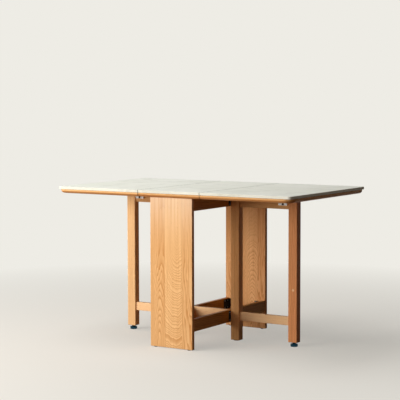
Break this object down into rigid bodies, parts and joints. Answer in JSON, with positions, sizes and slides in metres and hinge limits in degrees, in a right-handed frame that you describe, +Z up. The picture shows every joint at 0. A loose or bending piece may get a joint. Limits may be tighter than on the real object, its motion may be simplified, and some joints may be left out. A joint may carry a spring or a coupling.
{
  "type": "gateleg drop-leaf dining table",
  "caption": "Dining table whose two stone-topped leaves are hinged to a narrow centre on panel legs and carried by gates that swing out from pivot posts.",
  "frame": {"origin": "on the floor under the middle of the top", "axes": "+X along the opened top towards the right leaf, +Y across it towards the back panel leg, +Z up through the stone top; both gates fold towards +Y"},
  "size_m": [1.31, 0.76, 0.75],
  "materials": {
    "oak_panels": "flat-sawn oak under satin clear oil",
    "oak_boards": "oak under satin clear oil",
    "oak_rails": "straight-grained oak under satin clear oil",
    "oak_posts": "straight-grained oak under satin clear oil",
    "stone_slabs": "pale sintered stone, honed, faint grey veins",
    "black_steel": "black powder coat",
    "bright_steel": "zinc-plated steel",
    "catch_housing": "white moulded housing",
    "catch_magnet": "black magnet with ground face",
    "nylon": "black nylon",
    "foot_black": "black moulded foot on a threaded stem"
  },
  "bodies": {
    "base": {"front_panel": "oak_panels", "back_panel": "oak_panels", "upper_rail_left": "oak_rails", "upper_rail_right": "oak_rails", "lower_rail_left": "oak_rails", "lower_rail_right": "oak_rails", "upper_cross_rail": "oak_rails", "lower_cross_rail": "oak_rails", "center_board": "oak_boards", "center_stone": "stone_slabs", "panel_glides": "nylon", "upper_corner_brackets": "black_steel", "lower_corner_brackets": "black_steel", "center_board_angles": "black_steel", "upper_pivot_bracket_left": "black_steel", "upper_pivot_bracket_right": "black_steel", "lower_pivot_bracket_left": "black_steel", "lower_pivot_bracket_right": "black_steel", "center_hinge_plates_left": "black_steel", "center_hinge_plates_right": "black_steel", "hinge_pins_left": "bright_steel", "hinge_pins_right": "bright_steel"},
    "leaf_left": {"leaf_board_left": "oak_boards", "leaf_stone_left": "stone_slabs", "leaf_hinge_plates_left": "black_steel", "catch_striker_left": "bright_steel"},
    "leaf_right": {"leaf_board_right": "oak_boards", "leaf_stone_right": "stone_slabs", "leaf_hinge_plates_right": "black_steel", "catch_striker_right": "bright_steel"},
    "gate_left": {"pivot_post_left": "oak_posts", "outer_leg_left": "oak_posts", "gate_upper_rail_left": "oak_rails", "gate_lower_rail_left": "oak_rails", "pivot_pins_left": "bright_steel", "post_glide_left": "nylon", "leg_pad_left": "nylon", "catch_body_left": "catch_housing", "catch_magnet_left": "catch_magnet", "foot_bush_left": "bright_steel"},
    "gate_right": {"pivot_post_right": "oak_posts", "outer_leg_right": "oak_posts", "gate_upper_rail_right": "oak_rails", "gate_lower_rail_right": "oak_rails", "pivot_pins_right": "bright_steel", "post_glide_right": "nylon", "leg_pad_right": "nylon", "catch_body_right": "catch_housing", "catch_magnet_right": "catch_magnet", "foot_bush_right": "bright_steel"},
    "foot_left": {"levelling_foot_left": "foot_black"},
    "foot_right": {"levelling_foot_right": "foot_black"}
  },
  "joints": [
    {"name": "gate_left_swing", "type": "hinge", "parent": "base", "child": "gate_left", "pos_m": [-0.1493, 0, 0.36], "axis": [0, 0, -1], "range_deg": [0, 90]},
    {"name": "gate_right_swing", "type": "hinge", "parent": "base", "child": "gate_right", "pos_m": [0.1493, 0, 0.36], "axis": [0, 0, 1], "range_deg": [0, 90]},
    {"name": "leaf_left_lift", "type": "hinge", "parent": "base", "child": "leaf_left", "pos_m": [-0.17285, 0, 0.72], "axis": [0, 1, 0], "range_deg": [0, 4]},
    {"name": "leaf_right_lift", "type": "hinge", "parent": "base", "child": "leaf_right", "pos_m": [0.17285, 0, 0.72], "axis": [0, -1, 0], "range_deg": [0, 4]},
    {"name": "foot_left_turn", "type": "hinge", "parent": "gate_left", "child": "foot_left", "pos_m": [-0.4683, 0, 0.01], "axis": [0, 0, 1], "continuous": true},
    {"name": "foot_right_turn", "type": "hinge", "parent": "gate_right", "child": "foot_right", "pos_m": [0.4683, 0, 0.01], "axis": [0, 0, 1], "continuous": true}
  ]
}
